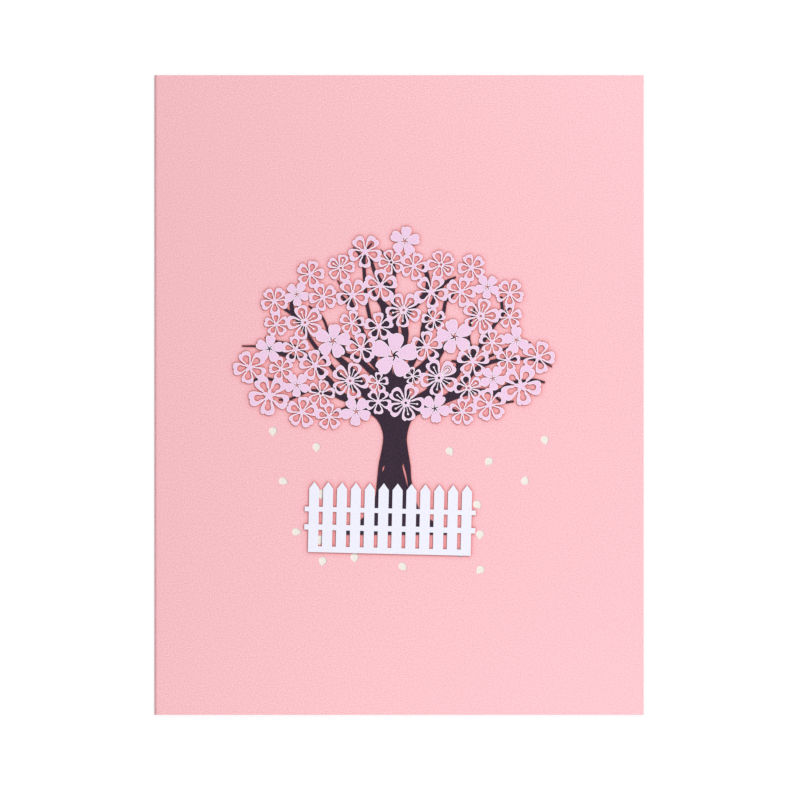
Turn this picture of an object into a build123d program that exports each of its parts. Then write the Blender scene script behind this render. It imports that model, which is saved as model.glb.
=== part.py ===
from build123d import *

import math
import os
from collections import namedtuple

# Sizes in millimetres. The closed card lies on its back with the front cover up: X runs across
# the front to the right, Y up the picture and Z out of the cover. The origin is at the middle
# of the back cover.
card_width = 153.0
card_height = 200.0

# Paper weights.
cover_sheet = 0.30
liner_sheet = 0.25
pop_up_sheet = 0.25
tree_sheet = 0.35
canopy_sheet = 0.35
fence_sheet = 0.35

# The liner is glued inside the cover and stops short of its open edges and of its fold.
liner_margin = 3.0
liner_fold_room = 0.5

# The pop-up is a tent of one sheet, glued near the spine and folded at its ridge.
pop_up_height = 120.0
pop_up_ridge_margin = 25.0
pop_up_spine_margin = 20.0
pop_up_slack = 0.15

# Cherry petals fallen from the tree: windows cut through the front cover. Each has its place,
# and the direction of its point in degrees from +X.
petal_round = 1.25
petal_length = 3.15
petal_facets = 4
fallen_petals = [
    (-39.4, -11.5, 265), (-25.8, -16.5, 268), (-36.0, -27.0, -20), (-24.4, -31.1, 270),
    (-31.9, -42.8, -5), (-23.9, -52.1, 262), (-24.8, -45.4, 270), (-13.9, -51.0, 270),
    (1.3, -53.8, -45), (18.9, -49.5, -50), (24.6, -34.4, -55), (25.3, -43.8, 268),
    (25.3, -54.8, -130), (15.9, -17.7, -60), (28.0, -20.9, -125), (39.4, -26.6, 80),
    (45.6, -14.2, -75),
]

# Trunk outline: its two sides from the fork of the crown, straight out to the lowest branches and
# then in arcs down to the spreading roots. Two knife slits follow the routes given.
trunk_left = [
    (-4.2, 6.3), (-7.6, -2.4), (-11.5, -4.4), (-7.0, -7.6), (-5.0, -12.2), (-5.3, -16.6),
    (-6.3, -21.6), (-6.9, -27.2), (-7.7, -32.8), (-10.9, -38.1), (-17.8, -42.5),
]
trunk_right = [
    (2.5, 6.3), (3.8, -2.4), (9.0, -4.6), (4.3, -7.5), (2.5, -12.8), (2.8, -17.2),
    (3.6, -22.2), (4.0, -27.2), (6.1, -35.3), (10.0, -39.1), (16.3, -42.5),
]
root_edge = 1.2
slit_width = 0.6
trunk_slits = [
    [(-4.5, -21.9), (-4.9, -23.0), (-5.2, -24.1)],
    [(1.3, -21.3), (1.4, -22.6), (2.2, -25.8), (2.9, -29.3)],
]

# Branches from tip to trunk: width at the tip, width at the root and the route between them.
# First those that rise to the left, from the lowest to the highest, then those to the right.
branches = [
    (0.4, 1.2, [(-20.9, -5.6), (-15.3, -3.9), (-6.0, -3.5)]),
    (0.5, 0.8, [(-37.5, -1.5), (-34.1, -1.3), (-29.0, 1.0)]),
    (0.7, 1.2, [(-45.6, 4.4), (-43.8, 5.1), (-39.7, 4.8), (-33.4, 1.5), (-26.4, 1.3), (-19.5, -0.4),
                (-5.0, -5.0)]),
    (0.3, 1.9, [(-49.1, 15.3), (-44.1, 15.2), (-36.4, 12.8), (-28.6, 11.2), (-17.2, -0.3), (-6.0, -5.0)]),
    (0.4, 0.9, [(-41.9, 18.0), (-38.6, 16.9), (-33.8, 15.9), (-27.5, 11.0)]),
    (0.9, 1.5, [(-35.8, 27.0), (-33.1, 25.1), (-20.9, 8.6), (-6.5, -3.0)]),
    (0.6, 1.0, [(-33.3, 29.7), (-33.5, 27.4), (-32.3, 23.8)]),
    (0.5, 0.8, [(-28.2, 27.8), (-24.6, 25.0), (-22.6, 21.3), (-21.2, 15.5)]),
    (1.0, 3.4, [(-21.6, 16.0), (-20.5, 13.3), (-15.4, 8.2), (-7.0, -3.0)]),
    (0.6, 0.9, [(-18.8, 20.0), (-16.6, 12.5)]),
    (1.0, 2.4, [(-18.0, 12.9), (-13.3, 11.6), (-9.1, 7.8), (-2.0, 0.0)]),
    (0.6, 3.2, [(-15.2, 17.8), (-8.0, 10.5), (-2.0, 2.0)]),
    (0.5, 1.5, [(-19.1, 32.1), (-14.4, 28.0)]),
    (0.4, 1.6, [(-19.2, 35.8), (-14.5, 28.4), (-10.0, 16.2), (-7.0, 11.0)]),
    (0.5, 1.0, [(-14.3, 46.1), (-12.4, 44.1), (-11.2, 40.5)]),
    (0.5, 0.8, [(-8.4, 47.5), (-11.0, 44.6)]),
    (1.0, 1.1, [(-10.9, 44.9), (-10.9, 39.7), (-9.9, 28.0), (-8.6, 22.2)]),
    (1.5, 2.4, [(-8.9, 23.0), (-3.5, 9.0)]),
    (0.4, 2.2, [(-8.7, 34.5), (-7.3, 30.7), (-5.1, 27.4), (-3.0, 6.0)]),
    (0.6, 1.6, [(-6.4, 30.2), (-1.2, 25.5)]),
    (0.5, 2.0, [(-8.8, 42.5), (-7.7, 38.8), (-5.7, 35.3), (-1.9, 32.3)]),
    (0.5, 2.0, [(-5.9, 45.3), (-2.8, 42.2), (-1.4, 39.1), (-1.9, 32.4), (-0.8, 6.0)]),
    (0.6, 2.4, [(7.6, 40.4), (9.1, 35.5), (8.4, 32.2), (2.2, 24.8), (1.7, 21.0), (0.5, 5.0)]),
    (0.4, 2.2, [(17.8, 36.9), (14.2, 34.9), (11.7, 31.7), (7.5, 20.8), (7.3, 17.7), (4.3, 10.8), (0.5, 4.0)]),
    (0.5, 0.7, [(17.2, 31.6), (14.5, 29.2), (13.7, 25.2)]),
    (1.2, 1.8, [(13.8, 25.6), (12.2, 22.4), (7.3, 20.0)]),
    (1.2, 3.4, [(17.3, 18.2), (8.6, 9.6), (0.3, 3.0)]),
    (0.6, 0.9, [(23.9, 28.3), (22.5, 23.0), (21.9, 18.0), (23.3, 12.9)]),
    (0.4, 0.6, [(19.7, 18.1), (22.0, 17.6)]),
    (0.4, 0.7, [(35.9, 28.2), (32.3, 24.8)]),
    (0.9, 1.1, [(31.9, 30.8), (32.3, 25.8), (25.2, 15.0)]),
    (1.3, 2.6, [(25.8, 15.9), (23.5, 13.0), (19.1, 9.8), (17.8, 6.6), (3.0, -4.5)]),
    (0.4, 1.1, [(41.1, 16.5), (34.4, 14.9), (26.5, 11.1), (24.8, 8.9)]),
    (0.4, 2.0, [(47.8, 8.8), (45.9, 9.9), (41.8, 11.1), (35.7, 11.3), (29.5, 10.5), (26.2, 9.3), (22.8, 6.6),
                (17.3, 1.2), (4.0, -5.5)]),
    (0.6, 1.8, [(45.6, 3.9), (42.5, 4.7), (36.3, 4.1), (31.8, 1.6), (29.9, 0.9), (25.9, 1.4), (17.0, -0.8),
                (4.0, -6.0)]),
    (0.5, 0.7, [(35.9, -2.0), (32.8, -2.3), (31.0, -1.3), (29.0, 0.9)]),
    (0.7, 1.8, [(18.4, -5.2), (12.0, -4.2), (2.5, -6.0)]),
]

# Picket fence: one cut sheet, laid over the foot of the trunk a little askew.
fence_middle = (-3.06, -49.66)
fence_turn = -1.35
picket_count = 12
picket_pitch = 4.34
picket_width = 3.16
picket_height = 22.06
picket_point = 2.15
fence_base = 1.85
rail_overhang = 1.3
rail_heights = [(7.0, 8.7), (12.7, 14.2)]

# Forms of a blossom's petal, as shares of the blossom's radius: where two petals part, where
# the petal is widest and by how much to each side, and the widest place, half width and end of
# the drop-shaped hole in it. Then come the number of petals and the degrees from each to the
# next. Every petal has its tip at the same share of the radius.
Petal = namedtuple(
    "Petal",
    "notch wide_at half hole_at hole_half hole_end count pitch",
    defaults=(5, 72),
)
OPEN = Petal(0.38, 0.85, 0.385, 0.76, 0.17, 0.76)
BROAD = Petal(0.36, 0.86, 0.44, 0.72, 0.19, 0.72)
AIRY = Petal(0.36, 0.86, 0.41, 0.77, 0.26, 0.93)
SOLID = Petal(0.56, 0.89, 0.45, 0, 0, 0)
SPARSE = SOLID._replace(count=4, pitch=80)
petal_tip = 1.06

# Web left round a blossom's middle between the points of its holes, and how far the glued
# lattice has slipped from the tree.
hole_start = 0.9
lattice_shift = Vector(-0.15, -0.15)

# Blossoms of the lattice: place, radius, direction of one petal in degrees from +X, and form.
Blossom = namedtuple("Blossom", "x y radius turn form")
blossoms = [
    Blossom(1.8, 48.3, 4.5, 9, SOLID), Blossom(-10.6, 45.0, 5.1, 52, OPEN),
    Blossom(-2.5, 41.6, 3.9, 35, AIRY), Blossom(13.1, 40.9, 4.3, 37, AIRY),
    Blossom(4.6, 40.4, 4.3, -4, OPEN), Blossom(22.7, 39.9, 4.2, 39, OPEN),
    Blossom(-18.2, 39.8, 4.2, 5, AIRY), Blossom(-27.7, 37.9, 4.2, 3, OPEN),
    Blossom(-5.8, 34.3, 5.1, 17, OPEN), Blossom(27.6, 33.9, 3.7, 50, SOLID),
    Blossom(10.1, 32.4, 5.2, 60, OPEN), Blossom(19.3, 32.4, 4.6, -1, OPEN),
    Blossom(34.6, 31.9, 4.3, 54, OPEN), Blossom(-32.0, 31.6, 3.7, 59, SOLID),
    Blossom(-14.5, 31.4, 5.0, 53, OPEN), Blossom(-23.7, 30.7, 4.3, 40, OPEN),
    Blossom(-38.9, 29.5, 4.2, 57, OPEN), Blossom(1.4, 26.7, 5.4, 50, AIRY),
    Blossom(25.5, 24.8, 5.5, 2, AIRY), Blossom(34.6, 24.6, 3.7, 18, OPEN),
    Blossom(10.8, 23.7, 3.7, 27, OPEN), Blossom(-29.4, 22.8, 5.4, 36, AIRY),
    Blossom(-14.7, 22.7, 3.8, 9, OPEN), Blossom(-38.3, 22.2, 3.7, 22, OPEN),
    Blossom(-6.3, 21.5, 4.4, 21, OPEN), Blossom(17.3, 18.4, 5.4, 31, SOLID),
    Blossom(36.7, 17.3, 4.0, 90, SPARSE), Blossom(-20.7, 17.0, 5.3, 10, SOLID),
    Blossom(29.1, 16.6, 4.0, 16, OPEN), Blossom(8.6, 15.3, 4.8, 17, OPEN),
    Blossom(-11.8, 14.7, 4.7, 23, OPEN), Blossom(-40.5, 14.6, 4.2, 11, SOLID),
    Blossom(-32.3, 14.4, 4.2, 24, OPEN), Blossom(-1.6, 12.6, 6.9, 11, SOLID),
    Blossom(43.5, 12.0, 5.0, -2, OPEN), Blossom(34.0, 11.1, 3.7, 3, OPEN),
    Blossom(23.1, 10.7, 4.9, 16, OPEN), Blossom(-26.2, 9.4, 4.8, 24, OPEN),
    Blossom(-46.6, 8.8, 5.1, 43, OPEN), Blossom(-36.8, 8.3, 3.7, 34, OPEN),
    Blossom(4.3, 6.1, 2.8, 28, OPEN), Blossom(12.5, 5.5, 5.8, 44, AIRY),
    Blossom(29.3, 5.3, 3.8, 60, SOLID), Blossom(-15.3, 4.6, 5.7, -2, AIRY),
    Blossom(-6.6, 4.1, 3.2, 11, OPEN), Blossom(-31.9, 3.2, 3.7, 51, SOLID),
    Blossom(38.1, 3.0, 6.2, 65, BROAD), Blossom(21.7, 2.3, 4.3, 34, AIRY),
    Blossom(-24.4, 0.6, 4.2, 3, AIRY), Blossom(-40.6, 0.0, 6.2, 48, BROAD),
    Blossom(-6.5, -1.9, 4.0, 56, OPEN), Blossom(2.1, -2.3, 5.7, 66, AIRY),
    Blossom(28.3, -2.9, 5.1, 30, OPEN), Blossom(11.2, -4.1, 4.5, 61, SOLID),
    Blossom(-13.4, -5.0, 4.5, 50, SOLID), Blossom(19.8, -5.1, 4.2, 18, OPEN),
    Blossom(-30.3, -5.2, 4.8, 10, OPEN), Blossom(-21.8, -6.6, 4.1, 20, OPEN),
]

# Heights of the layers, from the back cover to the top of the lattice.
back_liner_z = cover_sheet
pop_up_z = back_liner_z + liner_sheet
front_liner_z = pop_up_z + 2 * pop_up_sheet + pop_up_slack
front_cover_z = front_liner_z + liner_sheet
front_face_z = front_cover_z + cover_sheet
over_tree_z = front_face_z + tree_sheet

card_left = -card_width / 2
card_right = card_width / 2


def polar(distance, degrees):
    """Point at a distance and direction from the origin."""
    return Vector(distance, 0).rotate(Axis.Z, degrees)


def folded_sheet(fold_x, edge_x, low, high, thickness, length):
    """One sheet folded along Y at fold_x, with both its panels ending at edge_x."""
    outward = math.copysign(1, fold_x - edge_x)
    bend_x = fold_x - outward * (high - low) / 2
    middle = (low + high) / 2
    inner_low = low + thickness
    inner_high = high - thickness
    inner_fold = fold_x - outward * thickness
    section = make_face([
        Line((edge_x, low), (bend_x, low)),
        ThreePointArc((bend_x, low), (fold_x, middle), (bend_x, high)),
        Line((bend_x, high), (edge_x, high)),
        Line((edge_x, high), (edge_x, inner_high)),
        Line((edge_x, inner_high), (bend_x, inner_high)),
        ThreePointArc((bend_x, inner_high), (inner_fold, middle), (bend_x, inner_low)),
        Line((bend_x, inner_low), (edge_x, inner_low)),
        Line((edge_x, inner_low), (edge_x, low)),
    ])
    return extrude(Plane.XZ * section, amount=length / 2, both=True)


def cut_sheet(outline, low, thickness):
    """Flat sheet of a cut outline, lying at height low."""
    return Pos(0, 0, low) * extrude(outline, amount=thickness)


def petal_window():
    """Drop shape about the origin: a round end, and straight sides that meet in a point on +X."""
    point = petal_length - petal_round
    touch = math.degrees(math.acos(petal_round / point))
    step = (360 - 2 * touch) / petal_facets
    round_end = [polar(petal_round, touch + index * step) for index in range(petal_facets + 1)]
    middle = petal_length / 2 - petal_round
    return Pos(-middle, 0) * Polygon((point, 0), *round_end, align=None)


def make_cover():
    """Pink card folded at the spine, with the fallen petals cut through its front panel."""
    sheet = folded_sheet(card_left, card_right, 0, front_face_z, cover_sheet, card_height)
    window = petal_window()
    windows = Sketch() + [Pos(x, y) * Rot(0, 0, turn) * window for x, y, turn in fallen_petals]
    return sheet - cut_sheet(windows, front_cover_z, cover_sheet)


def make_liner():
    """Cream sheet glued to both inner faces of the cover."""
    fold_x = card_left + cover_sheet + liner_fold_room
    edge_x = card_right - liner_margin
    length = card_height - 2 * liner_margin
    return folded_sheet(fold_x, edge_x, back_liner_z, front_cover_z, liner_sheet, length)


def make_pop_up():
    """Tent of one sheet, lying folded flat with its ridge towards the open edge."""
    ridge_x = card_right - pop_up_ridge_margin
    spine_x = card_left + pop_up_spine_margin
    return folded_sheet(ridge_x, spine_x, pop_up_z, front_liner_z, pop_up_sheet, pop_up_height)


def trunk_side(points):
    """Side of the trunk: straight below the fork, then arcs down to the root."""
    fork, hollow, *lower = points
    arcs = [ThreePointArc(*lower[first:first + 3]) for first in range(0, len(lower) - 2, 2)]
    return [Line(fork, hollow), Line(hollow, lower[0])] + arcs


def trunk_outline():
    """Trunk from the fork of its crown to the flat edge below its roots."""
    left_foot = (trunk_left[-1][0], trunk_left[-1][1] - root_edge)
    right_foot = (trunk_right[-1][0], trunk_right[-1][1] - root_edge)
    return make_face([
        *trunk_side(trunk_left),
        Line(trunk_left[-1], left_foot),
        Line(left_foot, right_foot),
        Line(right_foot, trunk_right[-1]),
        *trunk_side(trunk_right),
        Line(trunk_right[0], trunk_left[0]),
    ])


def branch_outline(tip_width, root_width, route):
    """Tapered branch along a route, thin at its cut tip."""
    last = len(route) - 1
    left = []
    right = []
    for index, point in enumerate(route):
        before = Vector(*route[max(index - 1, 0)])
        after = Vector(*route[min(index + 1, last)])
        across = (after - before).normalized().rotate(Axis.Z, 90)
        half = (tip_width + (root_width - tip_width) * index / last) / 2
        left.append(Vector(*point) + across * half)
        right.append(Vector(*point) - across * half)
    return Polygon(*right, *reversed(left), align=None)


def slit_outline(route):
    """Slit of the knife along a route, pointed at both ends."""
    left = []
    right = []
    for before, point, after in zip(route, route[1:], route[2:]):
        along = (Vector(*after) - Vector(*before)).normalized()
        across = along.rotate(Axis.Z, 90) * (slit_width / 2)
        left.append(Vector(*point) + across)
        right.append(Vector(*point) - across)
    return Polygon(route[0], *right, route[-1], *reversed(left), align=None)


def make_tree():
    """Dark silhouette of trunk, roots and branches, cut from one sheet."""
    outline = trunk_outline() + [branch_outline(*branch) for branch in branches]
    outline -= [slit_outline(slit) for slit in trunk_slits]
    return cut_sheet(outline, front_face_z, tree_sheet)


def placed(blossom, points):
    """Points given about a blossom's centre, moved to its place."""
    return [point + Vector(blossom.x, blossom.y) + lattice_shift for point in points]


def petal_turns(blossom):
    """Directions of a blossom's petals in degrees."""
    form = blossom.form
    return [blossom.turn + index * form.pitch for index in range(form.count)]


def blossom_outline(blossom):
    """Outer edge of a blossom, petal by petal, with a notch between each two."""
    form = blossom.form
    petal = [
        Vector(form.wide_at, -form.half),
        Vector(petal_tip, 0),
        Vector(form.wide_at, form.half),
        polar(form.notch, form.pitch / 2),
    ]
    points = []
    for turn in petal_turns(blossom):
        points += [(point * blossom.radius).rotate(Axis.Z, turn) for point in petal]
    return Polygon(*placed(blossom, points), align=None)


def petal_holes(blossom):
    """Drop-shaped holes, one in each petal, with their points at the middle."""
    form = blossom.form
    half = form.hole_half * blossom.radius
    wide_at = form.hole_at * blossom.radius
    hole = [Vector(hole_start, 0), Vector(wide_at, -half), Vector(wide_at, half)]
    if form.hole_end > form.hole_at:
        hole.insert(2, Vector(form.hole_end * blossom.radius, 0))
    for turn in petal_turns(blossom):
        turned = [point.rotate(Axis.Z, turn) for point in hole]
        yield Polygon(*placed(blossom, turned), align=None)


def make_canopy():
    """Lattice of blossoms, joined where their petals overlap, cut from one sheet."""
    outline = Sketch() + [blossom_outline(blossom) for blossom in blossoms]
    holes = []
    for blossom in blossoms:
        if blossom.form.hole_half:
            holes += petal_holes(blossom)
    return cut_sheet(outline - holes, over_tree_z, canopy_sheet)


def make_fence():
    """White picket fence with two rails and a base strip, cut from one sheet."""
    half = picket_width / 2
    shoulder = picket_height - picket_point
    picket = Polygon(
        (-half, 0), (half, 0), (half, shoulder), (0, picket_height), (-half, shoulder), align=None
    )
    first_x = -picket_pitch * (picket_count - 1) / 2
    row_length = picket_pitch * (picket_count - 1) + picket_width
    outline = Sketch() + [Pos(first_x + i * picket_pitch, 0) * picket for i in range(picket_count)]
    outline += Pos(0, fence_base / 2) * Rectangle(row_length, fence_base)
    for low, high in rail_heights:
        rail = Rectangle(row_length + 2 * rail_overhang, high - low)
        outline += Pos(0, (low + high) / 2) * rail
    placed_outline = Pos(*fence_middle) * Rot(0, 0, fence_turn) * outline
    return cut_sheet(placed_outline, over_tree_z, fence_sheet)


nodes = {
    "cover": make_cover(),
    "liner": make_liner(),
    "pop_up_sheet": make_pop_up(),
    "tree_silhouette": make_tree(),
    "blossom_canopy": make_canopy(),
    "picket_fence": make_fence(),
}
os.makedirs("parts", exist_ok=True)
for name, shape in nodes.items():
    export_step(shape, f"parts/{name}.step")
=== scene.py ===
import math
from collections import namedtuple

import bmesh
import bpy
from mathutils import Matrix, Vector
from mathutils.geometry import delaunay_2d_cdt


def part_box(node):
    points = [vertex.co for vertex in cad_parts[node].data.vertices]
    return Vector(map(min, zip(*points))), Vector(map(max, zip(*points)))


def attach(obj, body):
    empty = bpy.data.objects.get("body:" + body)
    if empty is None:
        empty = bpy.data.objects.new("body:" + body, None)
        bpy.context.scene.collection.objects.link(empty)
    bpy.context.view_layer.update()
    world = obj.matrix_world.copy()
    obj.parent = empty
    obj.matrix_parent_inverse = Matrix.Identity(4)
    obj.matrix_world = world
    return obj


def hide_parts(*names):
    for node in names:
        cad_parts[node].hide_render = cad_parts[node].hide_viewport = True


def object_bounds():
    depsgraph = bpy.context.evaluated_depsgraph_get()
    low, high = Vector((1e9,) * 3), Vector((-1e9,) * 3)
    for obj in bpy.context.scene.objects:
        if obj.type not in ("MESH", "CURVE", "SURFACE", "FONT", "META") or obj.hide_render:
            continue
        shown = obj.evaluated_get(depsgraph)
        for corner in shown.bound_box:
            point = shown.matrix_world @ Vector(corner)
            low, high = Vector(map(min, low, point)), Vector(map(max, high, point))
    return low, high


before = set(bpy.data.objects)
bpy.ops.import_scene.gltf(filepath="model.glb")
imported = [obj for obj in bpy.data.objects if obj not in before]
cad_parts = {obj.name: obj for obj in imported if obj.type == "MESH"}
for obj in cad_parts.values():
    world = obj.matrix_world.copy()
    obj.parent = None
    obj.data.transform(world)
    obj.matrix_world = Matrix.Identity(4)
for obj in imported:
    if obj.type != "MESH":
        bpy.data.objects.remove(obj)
cad_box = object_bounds()

# Cover: one sheet of pearl card, dyed pink right through and folded once at the spine.
# Petals fallen from the tree are laser-cut through its front panel, and the liner shows in them.

# Sizes of the card are in millimetres, and MM turns them to metres.
MM = 0.001
COVER_SHEET = 0.30
FOLD_STEPS = 16
WINDOW_RADIUS = 1.25
WINDOW_LENGTH = 3.15
ROUND_STEPS = 14
# Each petal's middle, and the direction of its point in degrees.
FALLEN_PETALS = [
    (-39.4, -11.5, 265), (-25.8, -16.5, 268), (-36.0, -27.0, -20), (-24.4, -31.1, 270),
    (-31.9, -42.8, -5), (-23.9, -52.1, 262), (-24.8, -45.4, 270), (-13.9, -51.0, 270),
    (1.3, -53.8, -45), (18.9, -49.5, -50), (24.6, -34.4, -55), (25.3, -43.8, 268),
    (25.3, -54.8, -130), (15.9, -17.7, -60), (28.0, -20.9, -125), (39.4, -26.6, 80),
    (45.6, -14.2, -75),
]
# A cut sheet keeps the triangles inside its outlines, and points nearer than WELD become one.
INSIDE_CONSTRAINTS = 1
WELD = 1e-4
FIBRE_DETAIL = 2.0
FIBRE_ROUGHNESS = 0.6
MOTTLE_LOW = 0.35
MOTTLE_HIGH = 0.65


def polar(distance, degrees):
    """Flat point at a distance and direction from the origin."""
    angle = math.radians(degrees)
    return Vector((distance * math.cos(angle), distance * math.sin(angle)))


def drop_outline(middle, apex, radius):
    """Drop shape: a round end about middle, and straight sides that meet at apex."""
    towards = apex - middle
    facing = math.degrees(math.atan2(towards.y, towards.x))
    touch = math.degrees(math.acos(radius / towards.length))
    step = (360 - 2 * touch) / ROUND_STEPS
    turns = [facing + touch + index * step for index in range(ROUND_STEPS + 1)]
    return [apex] + [middle + polar(radius, turn) for turn in turns]


def cut_sheet(*layers):
    """Flat sheet in millimetres. The first layer's outlines are kept, the next layer's are cut
    out of them, the next one's stand in those openings, and so on. The outlines of a layer may
    overlap, which a fill operator doesn't take."""
    points = []
    loops = []
    depth = []
    for level, outlines in enumerate(layers):
        for outline in outlines:
            loops.append(range(len(points), len(points) + len(outline)))
            depth.append(level)
            points += outline
    places, _, cells, _, _, owners = delaunay_2d_cdt(points, [], loops, INSIDE_CONSTRAINTS, WELD)
    sheet = bmesh.new()
    corners = [sheet.verts.new(place.to_3d()) for place in places]
    for cell, owner in zip(cells, owners):
        top = max((depth[index] for index in owner), default=1)
        if top % 2 == 0:
            sheet.faces.new([corners[index] for index in cell])
    loose = [corner for corner in corners if not corner.link_faces]
    bmesh.ops.delete(sheet, geom=loose, context="VERTS")
    return sheet


def box_of(node):
    """Lowest and highest corner of a node of the frame, in millimetres."""
    return [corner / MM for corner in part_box(node)]


def thicken(sheet, low, thickness):
    """Gives a flat sheet its thickness, with its under side at height low."""
    bmesh.ops.translate(sheet, verts=sheet.verts, vec=(0, 0, low))
    raised = bmesh.ops.extrude_face_region(sheet, geom=sheet.faces[:])["geom"]
    top = [part for part in raised if isinstance(part, bmesh.types.BMVert)]
    bmesh.ops.translate(sheet, verts=top, vec=(0, 0, thickness))
    bmesh.ops.recalc_face_normals(sheet, faces=sheet.faces)


def add_piece(name, shape, material, node):
    """Finished piece from a mesh in millimetres, in place of a node of the frame."""
    bmesh.ops.scale(shape, verts=shape.verts, vec=(MM, MM, MM))
    mesh = bpy.data.meshes.new(name)
    shape.to_mesh(mesh)
    shape.free()
    mesh.materials.append(material)
    piece = bpy.data.objects.new(name, mesh)
    bpy.context.collection.objects.link(piece)
    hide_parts(node)
    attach(piece, "root")


def linear(hex_colour):
    """Linear colour of an sRGB hex value."""
    channels = [int(hex_colour[at:at + 2], 16) / 255 for at in (1, 3, 5)]
    return [c / 12.92 if c <= 0.04045 else ((c + 0.055) / 1.055) ** 2.4 for c in channels] + [1]


def add_node(tree, kind, inputs, **settings):
    """Adds a node. Its inputs are values, or the sockets that feed it."""
    node = tree.nodes.new(kind)
    for name, value in settings.items():
        setattr(node, name, value)
    for name, value in inputs.items():
        if isinstance(value, bpy.types.NodeSocket):
            tree.links.new(value, node.inputs[name])
        else:
            node.inputs[name].default_value = value
    return node


def paper(name, pale, deep, grain, tooth, roughness, ior=1.5, specular=0.5):
    """Dyed paper: fibres mottle its colour and give it a fine tooth. Grain is the size of the mottle
    and tooth its height, in millimetres. Real fibres are finer than the render can show, so they are
    drawn as coarse as grain says."""
    material = bpy.data.materials.new(name)
    material.use_nodes = True
    tree = material.node_tree
    shader = tree.nodes["Principled BSDF"]
    place = add_node(tree, "ShaderNodeTexCoord", {}).outputs["Object"]
    fibres = add_node(tree, "ShaderNodeTexNoise", {
        "Vector": place, "Scale": 1 / (grain * MM), "Detail": FIBRE_DETAIL, "Roughness": FIBRE_ROUGHNESS,
    })
    mottle = add_node(tree, "ShaderNodeMapRange", {
        "Value": fibres.outputs["Fac"], "From Min": MOTTLE_LOW, "From Max": MOTTLE_HIGH,
    })
    colour = add_node(tree, "ShaderNodeMix", {
        "Factor": mottle.outputs["Result"], "A": linear(deep), "B": linear(pale),
    }, data_type="RGBA")
    bump = add_node(tree, "ShaderNodeBump", {
        "Height": fibres.outputs["Fac"], "Distance": tooth * MM, "Strength": 1.0,
    })
    tree.links.new(colour.outputs["Result"], shader.inputs["Base Color"])
    tree.links.new(bump.outputs["Normal"], shader.inputs["Normal"])
    shader.inputs["Roughness"].default_value = roughness
    shader.inputs["IOR"].default_value = ior
    shader.inputs["Specular IOR Level"].default_value = specular
    return material


def paint_shade_or_highlight(material, colour, reach, inside, least, most):
    """Paints shade or a highlight into a piece's colour: blends a colour into its upper side where it is
    hemmed in within reach, by what lies over it or, with inside set, by its own sheet's cut edges. The
    blend is full where the open share is least or under, and gone where it is most or over."""
    tree = material.node_tree
    base = tree.nodes["Principled BSDF"].inputs["Base Color"]
    open_round = add_node(
        tree, "ShaderNodeAmbientOcclusion", {"Distance": reach * MM}, inside=inside, only_local=inside,
    )
    share = add_node(tree, "ShaderNodeMapRange", {
        "Value": open_round.outputs["AO"], "From Min": least, "From Max": most,
    })
    normal = add_node(tree, "ShaderNodeNewGeometry", {}).outputs["Normal"]
    upward = add_node(tree, "ShaderNodeSeparateXYZ", {"Vector": normal}).outputs["Z"]
    turned = add_node(tree, "ShaderNodeMath", {0: 1.0, 1: upward}, operation="SUBTRACT", use_clamp=True)
    share = add_node(
        tree, "ShaderNodeMath", {0: share.outputs["Result"], 1: turned.outputs[0]}, operation="MAXIMUM",
    )
    colour = add_node(tree, "ShaderNodeMix", {
        "Factor": share.outputs[0], "A": linear(colour), "B": base.links[0].from_socket,
    }, data_type="RGBA")
    tree.links.new(colour.outputs["Result"], base)


cover_low, cover_high = box_of("cover")
fold_radius = (cover_high.z - cover_low.z) / 2
bend_x = cover_low.x + fold_radius
front_panel = [
    Vector((bend_x, cover_low.y)), Vector((cover_high.x, cover_low.y)),
    Vector((cover_high.x, cover_high.y)), Vector((bend_x, cover_high.y)),
]
windows = []
for x, y, turn in FALLEN_PETALS:
    middle = Vector((x, y)) - polar(WINDOW_LENGTH / 2 - WINDOW_RADIUS, turn)
    apex = middle + polar(WINDOW_LENGTH - WINDOW_RADIUS, turn)
    windows.append(drop_outline(middle, apex, WINDOW_RADIUS))
cover_shape = cut_sheet([front_panel], windows)
thicken(cover_shape, cover_high.z - COVER_SHEET, COVER_SHEET)
# The front panel's spine edge is spun half round, and the end of that is drawn out as the back panel.
spine_side = [f for f in cover_shape.faces if all(abs(v.co.x - bend_x) < WELD for v in f.verts)]
folded = bmesh.ops.spin(
    cover_shape, geom=spine_side, cent=(bend_x, 0, (cover_low.z + cover_high.z) / 2), axis=(0, 1, 0),
    angle=-math.pi, steps=FOLD_STEPS,
)["geom_last"]
back_panel = bmesh.ops.extrude_face_region(
    cover_shape, geom=[part for part in folded if isinstance(part, bmesh.types.BMFace)]
)["geom"]
bmesh.ops.translate(
    cover_shape, verts=[part for part in back_panel if isinstance(part, bmesh.types.BMVert)],
    vec=(cover_high.x - bend_x, 0, 0),
)
bmesh.ops.recalc_face_normals(cover_shape, faces=cover_shape.faces)
# Coated mica in the pearl finish refracts strongly, and lays a soft white sheen over a fine pink mottle.
pearl_card = paper(
    "pearl_card_pink", pale="#F1B8C0", deep="#DA8D97", grain=0.35, tooth=0.02, roughness=0.45, ior=2.1,
)
# Painted shade: in the narrow openings of the lattice a deep coral is painted into the card's colour,
# for the shade there and the light that has met pink on its way in.
paint_shade_or_highlight(pearl_card, "#C44A48", reach=2.0, inside=False, least=0.55, most=1.0)
add_piece("pink_cover", cover_shape, pearl_card, "cover")

# Liner and pop-up: uncoated cream paper. The liner is glued inside both panels of the cover, and
# the pop-up is a tent of one sheet, folded flat between them.


def dress(node, material):
    """Gives a node of the frame its finish."""
    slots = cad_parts[node].data.materials
    slots.clear()
    slots.append(material)


# Uncoated paper is matt, and its fibres show as a faint warm mottle.
cream_paper = paper(
    "uncoated_paper_cream", pale="#EFEDE6", deep="#E8E5DC", grain=0.5, tooth=0.008, roughness=0.8,
)
dress("liner", cream_paper)
dress("pop_up_sheet", cream_paper)

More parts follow.
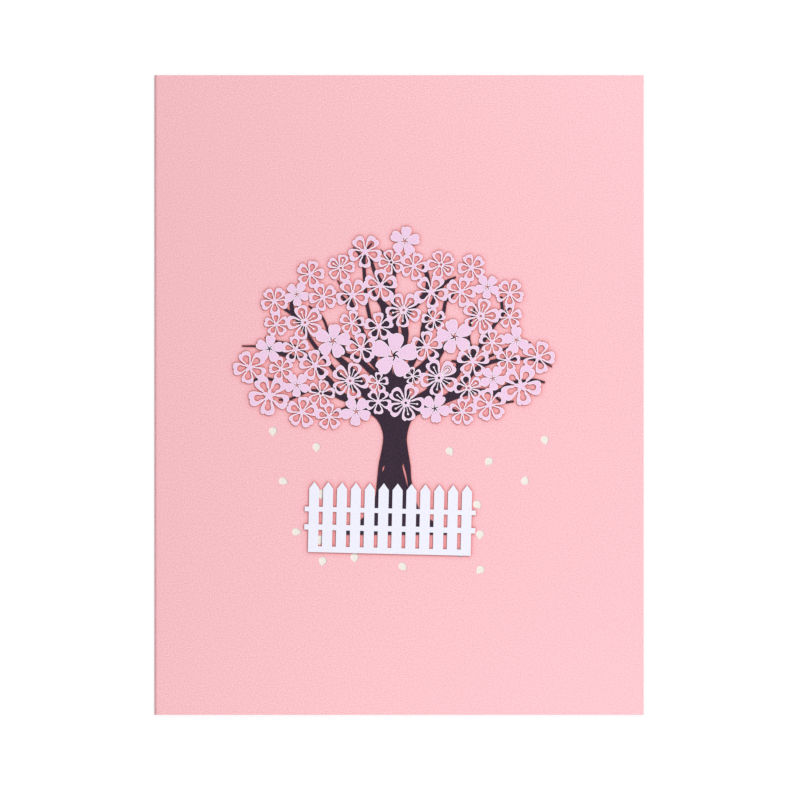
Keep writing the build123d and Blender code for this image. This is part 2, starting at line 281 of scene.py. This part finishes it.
# Tree: trunk, roots and branches, laser-cut from one sheet of near-black card and glued on the
# cover. Two slits in the trunk stand for its bark.

# Each side of the trunk runs from its fork down to the end of a root.
TRUNK_LEFT = [
    (-4.2, 6.3), (-7.6, -2.4), (-11.5, -4.4), (-7.0, -7.6), (-5.0, -12.2), (-5.3, -16.6),
    (-6.3, -21.6), (-6.9, -27.2), (-7.7, -32.8), (-10.9, -38.1), (-17.8, -42.5),
]
TRUNK_RIGHT = [
    (2.5, 6.3), (3.8, -2.4), (9.0, -4.6), (4.3, -7.5), (2.5, -12.8), (2.8, -17.2),
    (3.6, -22.2), (4.0, -27.2), (6.1, -35.3), (10.0, -39.1), (16.3, -42.5),
]
STRAIGHT_POINTS = 2
ROOT_EDGE = 1.2
SMOOTH_STEPS = 5
# Each slit's width and route.
TRUNK_SLITS = [
    (0.5, [(-4.5, -21.9), (-4.9, -23.0), (-5.2, -24.1)]),
    (0.65, [(1.3, -21.3), (1.4, -22.6), (2.2, -25.8), (2.9, -29.3)]),
]
# Each branch's width at its tip and at its root, and its route from tip to root. Where a branch is
# fuller near its tip, a second, shorter one lies over it.
BRANCHES = [
    (0.4, 1.2, [(-20.9, -5.6), (-18.0, -4.5), (-15.3, -3.8), (-6.0, -3.5)]),
    (0.5, 0.8, [(-37.5, -1.5), (-34.1, -1.3), (-29.0, 1.0)]),
    (0.7, 1.2, [(-45.6, 4.4), (-43.8, 5.1), (-39.7, 4.8), (-33.4, 1.6), (-30.3, 1.0), (-27.2, 1.4),
                (-24.5, 1.0), (-21.5, 0.4), (-19.3, -0.4), (-16.5, -1.6), (-5.0, -5.0)]),
    (0.3, 1.9, [(-49.1, 15.3), (-44.1, 15.2), (-40.4, 14.5), (-36.4, 12.8), (-33.4, 11.9),
                (-28.6, 11.2), (-26.5, 9.5), (-24.5, 7.1), (-21.6, 4.4), (-17.2, -0.3), (-6.0, -5.0)]),
    (0.4, 0.9, [(-41.9, 18.0), (-38.6, 16.9), (-33.8, 15.9), (-30.3, 13.9), (-28.6, 12.3), (-26.9, 9.6)]),
    (0.9, 1.5, [(-35.8, 27.0), (-33.1, 25.1), (-31.3, 23.0), (-27.0, 16.4), (-20.9, 8.6), (-16.5, 4.0),
                (-6.5, -3.0)]),
    (1.1, 1.5, [(-33.3, 29.7), (-33.5, 27.4), (-32.3, 23.8)]),
    (0.5, 0.8, [(-28.2, 27.8), (-25.5, 25.9), (-24.0, 24.3), (-22.6, 21.3), (-21.2, 15.5)]),
    (1.0, 3.4, [(-21.6, 16.0), (-20.6, 13.3), (-17.7, 10.5), (-15.4, 8.2), (-12.9, 4.9), (-10.7, 1.3),
                (-7.0, -3.0)]),
    (0.6, 0.9, [(-18.8, 20.0), (-16.6, 12.5)]),
    (1.0, 2.4, [(-18.0, 12.9), (-16.3, 12.5), (-13.3, 11.6), (-11.6, 10.2), (-9.1, 7.8), (-6.8, 5.6),
                (-2.0, 0.0)]),
    (0.6, 3.2, [(-15.2, 17.8), (-12.6, 15.1), (-10.2, 12.5), (-8.0, 10.5), (-5.5, 7.5), (-2.0, 2.0)]),
    (0.5, 1.5, [(-19.1, 32.1), (-17.4, 30.3), (-16.3, 29.1), (-14.4, 28.0)]),
    (0.4, 1.6, [(-19.2, 35.8), (-17.0, 32.4), (-15.7, 31.0), (-14.5, 28.4), (-13.5, 25.1),
                (-12.4, 22.7), (-11.7, 20.6), (-10.2, 16.9), (-9.9, 15.2), (-8.9, 13.3), (-7.0, 11.0)]),
    (0.5, 1.0, [(-14.3, 46.1), (-12.4, 44.1), (-11.2, 40.5)]),
    (0.5, 0.8, [(-8.4, 47.5), (-9.9, 45.8), (-11.0, 44.6)]),
    (1.0, 1.1, [(-10.9, 44.9), (-10.9, 39.7), (-10.4, 32.0), (-9.9, 28.0), (-9.3, 25.2), (-8.6, 22.2)]),
    (1.5, 2.4, [(-8.9, 23.0), (-7.9, 20.2), (-6.6, 16.5), (-3.5, 9.0)]),
    (0.4, 2.2, [(-8.7, 34.5), (-8.3, 33.3), (-7.3, 30.7), (-5.1, 27.4), (-4.5, 22.5), (-4.5, 19.4),
                (-3.0, 6.0)]),
    (0.6, 1.6, [(-6.4, 30.2), (-1.2, 25.5)]),
    (0.6, 3.2, [(-6.1, 30.4), (-4.8, 27.2), (-3.6, 24.0), (-2.4, 18.0)]),
    (0.9, 2.0, [(-8.8, 42.5), (-7.7, 38.8), (-6.8, 37.3), (-5.7, 35.3), (-3.9, 34.4), (-1.9, 32.3)]),
    (0.5, 2.0, [(-5.9, 45.3), (-2.8, 42.2), (-1.4, 39.1), (-1.9, 32.4), (-1.4, 24.5), (-1.1, 20.8),
                (-0.8, 6.0)]),
    (1.2, 2.4, [(7.6, 40.4), (8.8, 37.4), (9.1, 34.6), (8.6, 32.6), (7.4, 30.6), (5.3, 28.3),
                (3.4, 26.9), (2.2, 24.5), (1.7, 21.5), (1.9, 18.5), (0.8, 12.0), (0.5, 5.0)]),
    (0.4, 2.2, [(17.8, 36.9), (15.7, 35.9), (14.2, 34.9), (12.7, 33.4), (11.7, 31.7), (10.6, 29.0),
                (9.6, 26.0), (8.4, 23.6), (7.6, 20.8), (7.4, 17.7), (6.3, 15.4), (4.3, 10.8), (0.5, 4.0)]),
    (0.6, 1.3, [(17.2, 31.6), (16.0, 30.3), (14.6, 29.2), (14.0, 26.2), (13.6, 25.0)]),
    (1.2, 1.8, [(13.7, 25.4), (12.9, 23.4), (11.5, 22.0), (7.3, 20.0)]),
    (1.2, 3.4, [(17.3, 18.2), (15.0, 15.9), (12.6, 13.7), (10.6, 11.8), (8.6, 9.6), (6.0, 7.2),
                (0.3, 3.0)]),
    (0.6, 0.9, [(23.9, 28.3), (23.4, 26.0), (22.5, 23.0), (21.9, 18.6), (22.2, 16.0), (23.3, 12.9)]),
    (0.4, 0.6, [(19.7, 18.1), (21.3, 17.7), (22.1, 16.2)]),
    (0.4, 0.7, [(35.9, 28.2), (34.4, 26.9), (33.2, 26.0), (32.3, 24.8)]),
    (0.9, 1.1, [(31.9, 30.8), (32.2, 28.0), (32.3, 25.2), (30.9, 23.2), (29.5, 21.5), (26.9, 17.5),
                (25.2, 15.0)]),
    (1.3, 2.6, [(25.8, 15.9), (23.5, 13.0), (20.9, 11.5), (19.1, 9.8), (17.8, 6.6), (14.0, 4.0),
                (3.0, -4.5)]),
    (0.5, 1.2, [(16.4, 10.7), (17.8, 10.4), (19.0, 9.6)]),
    (0.4, 1.1, [(41.1, 16.5), (34.4, 14.9), (29.3, 12.6), (26.5, 11.1), (24.8, 8.9)]),
    (0.4, 2.0, [(47.8, 8.8), (46.1, 9.8), (44.2, 10.4), (41.8, 11.1), (38.8, 11.4), (35.7, 11.3),
                (32.4, 10.9), (29.5, 10.5), (26.2, 9.3), (24.5, 8.3), (22.8, 6.7), (20.9, 4.8),
                (17.3, 1.2), (13.0, -1.7), (4.0, -5.5)]),
    (0.6, 1.8, [(45.6, 3.9), (42.5, 4.7), (40.5, 4.5), (36.3, 4.1), (34.2, 3.4), (31.8, 1.6),
                (29.9, 0.9), (25.9, 1.4), (21.0, 0.5), (17.0, -0.8), (12.5, -2.6), (4.0, -6.0)]),
    (0.3, 1.6, [(-49.1, 15.3), (-44.1, 15.2), (-40.4, 14.5), (-36.4, 12.8), (-33.4, 11.9)]),
    (0.5, 1.7, [(17.6, 36.8), (15.7, 35.9), (14.0, 34.8), (12.9, 33.7)]),
    (2.6, 4.4, [(13.0, 14.2), (11.5, 11.6), (11.0, 8.8), (10.9, 6.0), (11.0, 3.0), (9.8, 0.4),
                (7.0, -1.6), (3.0, -4.5)]),
    (0.5, 0.7, [(35.9, -2.0), (32.8, -2.3), (31.0, -1.3), (29.0, 0.9)]),
    (0.7, 1.8, [(18.4, -5.2), (16.6, -4.7), (12.0, -4.2), (7.5, -4.7), (2.5, -6.0)]),
]


def smooth_line(route):
    """Points along a smooth curve through those of a route."""
    knots = [Vector(point) for point in route]
    ends = [knots[0] * 2 - knots[1]] + knots + [knots[-1] * 2 - knots[-2]]
    line = []
    for before, start, end, after in zip(ends, ends[1:], ends[2:], ends[3:]):
        for index in range(SMOOTH_STEPS):
            t = index / SMOOTH_STEPS
            bend = (end - before) * t + (before * 2 - start * 5 + end * 4 - after) * t ** 2
            line.append(start + (bend + (start * 3 - before - end * 3 + after) * t ** 3) / 2)
    return line + [knots[-1]]


def ribbon(line, width_at):
    """Outline of a strip along a line, with its width given at each share of the way."""
    last = len(line) - 1
    sides = ([], [])
    for index, point in enumerate(line):
        along = (line[min(index + 1, last)] - line[max(index - 1, 0)]).normalized()
        across = Vector((-along.y, along.x)) * width_at(index / last) / 2
        sides[0].append(point - across)
        sides[1].append(point + across)
    return sides[0] + sides[1][::-1]


def strip(line, first, last):
    """Strip along a line that changes evenly from its first width to its last."""
    return ribbon(line, lambda share: first + (last - first) * share)


def branch_outline(tip, root, route):
    """Branch that widens evenly from its tip to its root."""
    return strip(smooth_line(route), tip, root)


def slit_outline(width, route):
    """Slit that is pointed at both ends."""
    line = smooth_line(route)
    lens = ribbon(line, lambda share: width * math.sin(math.pi * share))
    return lens[:len(line)] + lens[len(line) + 1:-1]


def trunk_side(points):
    """One side of the trunk: straight at its fork, and a smooth curve from its lowest branch down."""
    return [Vector(point) for point in points[:STRAIGHT_POINTS]] + smooth_line(points[STRAIGHT_POINTS:])


root_drop = Vector((0, -ROOT_EDGE))
root_line = [Vector(TRUNK_LEFT[-1]) + root_drop, Vector(TRUNK_RIGHT[-1]) + root_drop]
trunk = trunk_side(TRUNK_LEFT) + root_line + trunk_side(TRUNK_RIGHT)[::-1]
tree_shape = cut_sheet(
    [trunk] + [branch_outline(*branch) for branch in BRANCHES],
    [slit_outline(*slit) for slit in TRUNK_SLITS],
)
tree_low, tree_high = box_of("tree_silhouette")
thicken(tree_shape, tree_low.z, tree_high.z - tree_low.z)
# Card dyed right through is quite matt, nearly black, and slightly plum where the light falls on it.
dark_card = paper(
    "dyed_card_aubergine", pale="#3F2F3F", deep="#332633", grain=0.5, tooth=0.01, roughness=0.9,
    specular=0.15,
)
add_piece("cherry_tree", tree_shape, dark_card, "tree_silhouette")

# Blossoms: one laser-cut lattice of lilac card, glued on the branches. Open blossoms have a drop cut
# out of each petal, airy ones a larger drop, often with a stamen in it, and solid ones a star of slits.

# Notch is how near a blossom's middle the gaps between its petals reach, and hole_at and hole_radius
# are the drop's round end, in shares of the radius. Edge is the share of its sector that a petal
# fills, and flat and steep are the powers that shape its tip and sides.
Form = namedtuple("Form", "notch edge flat steep hole_at hole_radius")
OPEN = Form(notch=0.32, edge=0.86, flat=5.5, steep=0.55, hole_at=0.585, hole_radius=0.215)
BROAD = Form(notch=0.33, edge=0.87, flat=5.0, steep=0.6, hole_at=0.61, hole_radius=0.17)
AIRY = Form(notch=0.27, edge=0.87, flat=5.5, steep=0.5, hole_at=0.65, hole_radius=0.225)
SOLID = Form(notch=0.44, edge=0.94, flat=4.0, steep=0.95, hole_at=0, hole_radius=0)
# Turn is the direction of the first petal, stamens are the petals with a stamen in their drop, count
# and pitch are the number of petals and the angle between them, and flaps are the petals whose drop
# is slit round but left in place.
Blossom = namedtuple(
    "Blossom", "x y radius turn form stamens count pitch flaps", defaults=((), 5, 72, ()),
)
ALL = (0, 1, 2, 3, 4)
BLOSSOMS = [
    Blossom(1.8, 48.3, 4.5, 9, SOLID), Blossom(-10.6, 45.0, 5.1, 52, OPEN),
    Blossom(-2.5, 41.6, 3.9, 35, AIRY), Blossom(13.1, 40.9, 4.3, 37, AIRY, (4,)),
    Blossom(4.6, 40.4, 4.3, -4, OPEN), Blossom(22.7, 39.9, 4.2, 39, OPEN),
    Blossom(-18.2, 39.8, 4.2, 5, AIRY, (1, 2)), Blossom(-27.7, 37.9, 4.2, 3, OPEN),
    Blossom(-5.8, 34.3, 5.1, 17, OPEN), Blossom(27.6, 33.9, 3.7, 50, SOLID),
    Blossom(10.1, 32.4, 5.2, 60, OPEN), Blossom(19.3, 32.4, 4.6, -1, OPEN),
    Blossom(34.6, 31.9, 4.3, 54, OPEN), Blossom(-32.0, 31.6, 3.7, 59, SOLID),
    Blossom(-14.5, 31.4, 5.0, 53, OPEN), Blossom(-23.7, 30.7, 4.3, 40, OPEN),
    Blossom(-38.9, 29.5, 4.2, 57, OPEN), Blossom(1.4, 26.7, 5.4, 50, AIRY, ALL),
    Blossom(25.5, 24.8, 5.5, 2, AIRY, ALL), Blossom(34.6, 24.6, 3.7, 18, OPEN),
    Blossom(10.8, 23.7, 3.7, 27, OPEN), Blossom(-29.4, 22.8, 5.4, 36, AIRY, ALL),
    Blossom(-14.7, 22.7, 3.8, 9, OPEN), Blossom(-38.3, 22.2, 3.7, 22, OPEN),
    Blossom(-6.3, 21.5, 4.4, 21, OPEN), Blossom(17.3, 18.4, 5.4, 31, SOLID),
    Blossom(36.7, 17.3, 4.0, 90, SOLID, count=4, pitch=80), Blossom(-20.7, 17.0, 5.3, 10, SOLID),
    Blossom(29.1, 16.6, 4.0, 16, OPEN), Blossom(8.6, 15.3, 4.8, 17, OPEN),
    Blossom(-11.8, 14.7, 4.7, 23, OPEN), Blossom(-40.5, 14.6, 4.2, 11, SOLID),
    Blossom(-32.3, 14.4, 4.2, 24, OPEN), Blossom(-1.6, 12.6, 6.9, 11, SOLID),
    Blossom(43.5, 12.0, 5.0, -2, OPEN), Blossom(34.0, 11.1, 3.7, 3, OPEN),
    Blossom(23.1, 10.7, 4.9, 16, OPEN), Blossom(-26.2, 9.4, 4.8, 24, OPEN),
    Blossom(-46.6, 8.8, 5.1, 43, OPEN), Blossom(-36.8, 8.3, 3.7, 34, OPEN),
    Blossom(4.3, 6.1, 2.8, 28, OPEN), Blossom(12.5, 5.5, 5.8, 44, AIRY, (1, 2, 3, 4), flaps=(0,)),
    Blossom(29.3, 5.3, 3.8, 60, SOLID), Blossom(-15.3, 4.6, 5.7, -2, AIRY, ALL),
    Blossom(-6.6, 4.1, 3.2, 11, OPEN), Blossom(-31.9, 3.2, 3.7, 51, SOLID),
    Blossom(38.1, 3.0, 6.2, 65, BROAD), Blossom(21.7, 2.3, 4.3, 34, AIRY, (0, 4)),
    Blossom(-24.4, 0.6, 4.2, 3, AIRY), Blossom(-40.6, 0.0, 6.2, 48, BROAD),
    Blossom(-6.5, -1.9, 4.0, 56, OPEN), Blossom(2.1, -2.3, 5.7, 66, AIRY, ALL),
    Blossom(28.3, -2.9, 5.1, 30, OPEN), Blossom(11.2, -4.1, 4.5, 61, SOLID),
    Blossom(-13.4, -5.0, 4.5, 50, SOLID), Blossom(19.8, -5.1, 4.2, 18, OPEN),
    Blossom(-30.3, -5.2, 4.8, 10, OPEN), Blossom(-21.8, -6.6, 4.1, 20, OPEN),
]
LATTICE_SHIFT = Vector((0.0, -0.15))
# Lengths in a blossom are shares of its radius, apart from stems, heads and dots, in millimetres.
# A nick's place and width are shares of half a petal's sector.
PETAL_STEPS = 24
PETAL_REACH = (1.05, 1.01, 1.04, 0.99, 1.03)
NICK_AT = (-0.12, 0.2, 0.0, -0.2, 0.12)
NICK_DEPTH = 0.07
NICK_WIDTH = 0.09
HOLE_START = 0.13
HOLE_NECK_AT = 0.33
HOLE_NECK = 0.125
STAMEN_START = 0.06
STAMEN_END = 0.63
STAMEN_STEM = (0.16, 0.26)
STAMEN_HEAD = 0.32
FLAP_STAMEN = 0.13
FLAP_CUT = 0.055
CENTRE_DOT = 0.44
DOT_STEPS = 12
# An odd number of arms, because two in line would share an edge in the middle.
STAR_ARMS = 5
STAR_REACH = 0.26
STAR_WIDTH = (0.1, 0.045)
STAR_SWIRL = -40
STAR_SHARES = (0.0, 0.5, 1.0)
STAR_DOTS = 10
STAR_DOT_AT = 0.32
STAR_DOT = 0.11


def middle_of(blossom):
    """Place of a blossom's middle on the card."""
    return Vector((blossom.x, blossom.y)) + LATTICE_SHIFT


def petal_turn(blossom, petal):
    """Direction of a blossom's petal in degrees."""
    return blossom.turn + petal * blossom.pitch


def blossom_outline(blossom):
    """Outer edge of a blossom: round petals that meet in narrow gaps, each with a nick in its tip."""
    form = blossom.form
    outline = []
    for petal in range(blossom.count):
        for index in range(PETAL_STEPS + 1):
            across = math.sin(math.pi * (index / PETAL_STEPS - 0.5))
            side = across * form.edge
            round_end = (1 - abs(across) ** form.flat) ** form.steep
            nick = NICK_DEPTH * math.exp(-((side - NICK_AT[petal]) / NICK_WIDTH) ** 2)
            reach = form.notch + (PETAL_REACH[petal] - form.notch) * round_end - nick
            turn = petal_turn(blossom, petal) + side * blossom.pitch / 2
            outline.append(middle_of(blossom) + polar(reach * blossom.radius, turn))
    return outline


def on_petal(blossom, petal, share):
    """Point on a petal's middle line, at a share of the blossom's radius."""
    return middle_of(blossom) + polar(share * blossom.radius, petal_turn(blossom, petal))


def petal_drop(blossom, petal, start, at, radius):
    """Drop along a petal's middle line, in shares of the blossom's radius: its point lies at start,
    and its round end about at."""
    apex = on_petal(blossom, petal, start)
    return drop_outline(on_petal(blossom, petal, at), apex, radius * blossom.radius)


def disc(middle, radius):
    """Small round outline."""
    return [middle + polar(radius, index * 360 / DOT_STEPS) for index in range(DOT_STEPS)]


def stamen(blossom, petal):
    """Stem and head of a stamen, standing in a petal's hole."""
    foot = on_petal(blossom, petal, STAMEN_START + CENTRE_DOT / blossom.radius)
    head = on_petal(blossom, petal, STAMEN_END)
    return [strip([foot, head], *STAMEN_STEM), disc(head, STAMEN_HEAD)]


def star(blossom):
    """Swirl of short slits in the middle of a solid blossom, with a ring of pin holes round it."""
    middle = middle_of(blossom)
    reach = STAR_REACH * blossom.radius
    for arm in range(STAR_ARMS):
        turn = blossom.turn + arm * 360 / STAR_ARMS
        route = [middle + polar(reach * share, turn + STAR_SWIRL * share) for share in STAR_SHARES]
        yield strip(smooth_line(route), *(width * blossom.radius for width in STAR_WIDTH))
    for dot in range(STAR_DOTS):
        turn = blossom.turn + dot * 360 / STAR_DOTS
        yield disc(middle + polar(STAR_DOT_AT * blossom.radius, turn), STAR_DOT)


holes = []
stamens = []
flap_slits = []
flap_stamens = []
for blossom in BLOSSOMS:
    form = blossom.form
    if form is SOLID:
        holes += star(blossom)
        continue
    for petal in range(blossom.count):
        holes.append(petal_drop(blossom, petal, HOLE_START, form.hole_at, form.hole_radius))
        if petal not in blossom.flaps:
            neck = on_petal(blossom, petal, HOLE_NECK_AT)
            holes.append(disc(neck, HOLE_NECK * blossom.radius))
    if form is AIRY:
        holes.append(disc(middle_of(blossom), CENTRE_DOT))
    for petal in blossom.stamens:
        stamens += stamen(blossom, petal)
    for petal in blossom.flaps:
        stamens.append(petal_drop(blossom, petal, STAMEN_START, form.hole_at, form.hole_radius - FLAP_CUT))
        flap_slits.append(petal_drop(blossom, petal, HOLE_START, STAMEN_END, FLAP_STAMEN))
        flap_stamens.append(petal_drop(blossom, petal, STAMEN_START, STAMEN_END, FLAP_STAMEN - FLAP_CUT))
canopy_shape = cut_sheet(
    [blossom_outline(blossom) for blossom in BLOSSOMS], holes, stamens, flap_slits, flap_stamens,
)
canopy_low, canopy_high = box_of("blossom_canopy")
thicken(canopy_shape, canopy_low.z, canopy_high.z - canopy_low.z)
# Smooth dyed card is a clear even lilac, matt, with hardly any grain.
lilac_card = paper(
    "dyed_card_lilac", pale="#F2D0EB", deep="#E9C4E1", grain=0.5, tooth=0.006, roughness=0.65,
)
# Painted highlight: a paler lilac is painted along every cut edge, where the edges catch the light.
paint_shade_or_highlight(lilac_card, "#FFF3FF", reach=0.3, inside=True, least=0.5, most=0.95)
add_piece("blossom_lattice", canopy_shape, lilac_card, "blossom_canopy")

# Fence: pickets, rails and base, laser-cut in one piece from cool white card. It is glued over the
# foot of the tree, and the frame's own shape of it stays.

# Smooth card is bright and clean, and looks slightly blue beside the pink.
white_card = paper(
    "smooth_card_white", pale="#EFEFFC", deep="#E8E8F6", grain=0.5, tooth=0.005, roughness=0.6,
)
dress("picket_fence", white_card)

# Table and light: a white table, a soft lamp high on the right behind the card, and a weaker one
# over its front edge, which brings out the pearl there.

# From here on, sizes are in metres.
FLOOR_SIZE = 6.0
FLOOR_DROP = 0.0001
FLOOR_PLAIN = "#E7E7E7"
FLOOR_SHADE = "#7C7C7C"
FLOOR_GLOW = 0.85
DOME = 0.2
KEY_PLACE = Vector((0.32, 0.46, 0.95))
KEY_SIZE = 0.30
KEY_POWER = 7.0
FRONT_PLACE = Vector((0.09, -0.30, 0.44))
FRONT_SIZE = 0.40
FRONT_POWER = 1.32


def looked_at(tree):
    """1 for a ray that shows the background to the eye, straight, mirrored or through glass, else 0."""
    rays = add_node(tree, "ShaderNodeLightPath", {}).outputs
    looked = rays["Is Camera Ray"]
    for kind in ("Is Glossy Ray", "Is Transmission Ray"):
        either = add_node(tree, "ShaderNodeMath", {0: looked, 1: rays[kind]}, operation="MAXIMUM")
        looked = either.outputs[0]
    return looked


floor_shape = bmesh.new()
bmesh.ops.create_grid(floor_shape, x_segments=1, y_segments=1, size=FLOOR_SIZE / 2)
bmesh.ops.translate(floor_shape, verts=floor_shape.verts, vec=(0, 0, -FLOOR_DROP))
floor_mesh = bpy.data.meshes.new("table")
floor_shape.to_mesh(floor_mesh)
floor_shape.free()
floor = bpy.data.objects.new("table", floor_mesh)
bpy.context.collection.objects.link(floor)
white_table = bpy.data.materials.new("white_laminate")
white_table.use_nodes = True
table_tree = white_table.node_tree
table_tree.nodes.clear()
# Matt laminate looks plain white, with the card's soft shadow on it.
plain = add_node(table_tree, "ShaderNodeBsdfDiffuse", {"Color": linear(FLOOR_PLAIN)}).outputs[0]
shade = add_node(table_tree, "ShaderNodeBsdfDiffuse", {"Color": linear(FLOOR_SHADE)}).outputs[0]
glow = add_node(table_tree, "ShaderNodeEmission", {"Strength": FLOOR_GLOW}).outputs[0]
white = add_node(table_tree, "ShaderNodeAddShader", {0: shade, 1: glow}).outputs[0]
looked = looked_at(table_tree)
above = add_node(table_tree, "ShaderNodeMixShader", {0: looked, 1: plain, 2: white}).outputs[0]
# From below the table is clear, so that the card's back can be seen.
below = add_node(table_tree, "ShaderNodeNewGeometry", {}).outputs["Backfacing"]
clear = add_node(table_tree, "ShaderNodeBsdfTransparent", {}).outputs[0]
surface = add_node(table_tree, "ShaderNodeMixShader", {0: below, 1: above, 2: clear}).outputs[0]
add_node(table_tree, "ShaderNodeOutputMaterial", {"Surface": surface})
floor_mesh.materials.append(white_table)

world = bpy.data.worlds.new("studio")
world.use_nodes = True
world_tree = world.node_tree
backdrop = world_tree.nodes["Background"].inputs
backdrop["Color"].default_value = linear("#FFFFFF")
strength = add_node(world_tree, "ShaderNodeMapRange", {
    "Value": looked_at(world_tree), "To Min": DOME, "To Max": 1.0,
})
world_tree.links.new(strength.outputs["Result"], backdrop["Strength"])
bpy.context.scene.world = world


def add_lamp(name, place, size, power):
    """Square softbox that faces the card's middle."""
    lamp = bpy.data.lights.new(name, "AREA")
    lamp.size = size
    lamp.energy = power
    holder = bpy.data.objects.new(name, lamp)
    holder.matrix_world = Matrix.Translation(place) @ place.to_track_quat("Z", "Y").to_matrix().to_4x4()
    bpy.context.collection.objects.link(holder)


add_lamp("key_lamp", KEY_PLACE, KEY_SIZE, KEY_POWER)
add_lamp("front_lamp", FRONT_PLACE, FRONT_SIZE, FRONT_POWER)

# Camera: straight above the card, with a long lens. The card fills the frame as it does in the
# photograph, and the frame's width is measured at the height of the card's top.
FRAME_WIDTH = 0.250
FRAME_MIDDLE = Vector((0.00031, -0.00156))
CAMERA_HEIGHT = 2.5
camera_data = bpy.data.cameras.new("camera")
camera_data.lens = camera_data.sensor_width * (CAMERA_HEIGHT - cad_box[1][2]) / FRAME_WIDTH
camera = bpy.data.objects.new("camera", camera_data)
camera.location = (FRAME_MIDDLE.x, FRAME_MIDDLE.y, CAMERA_HEIGHT)
bpy.context.collection.objects.link(camera)
bpy.context.scene.camera = camera
bpy.context.scene.view_settings.view_transform = "Standard"
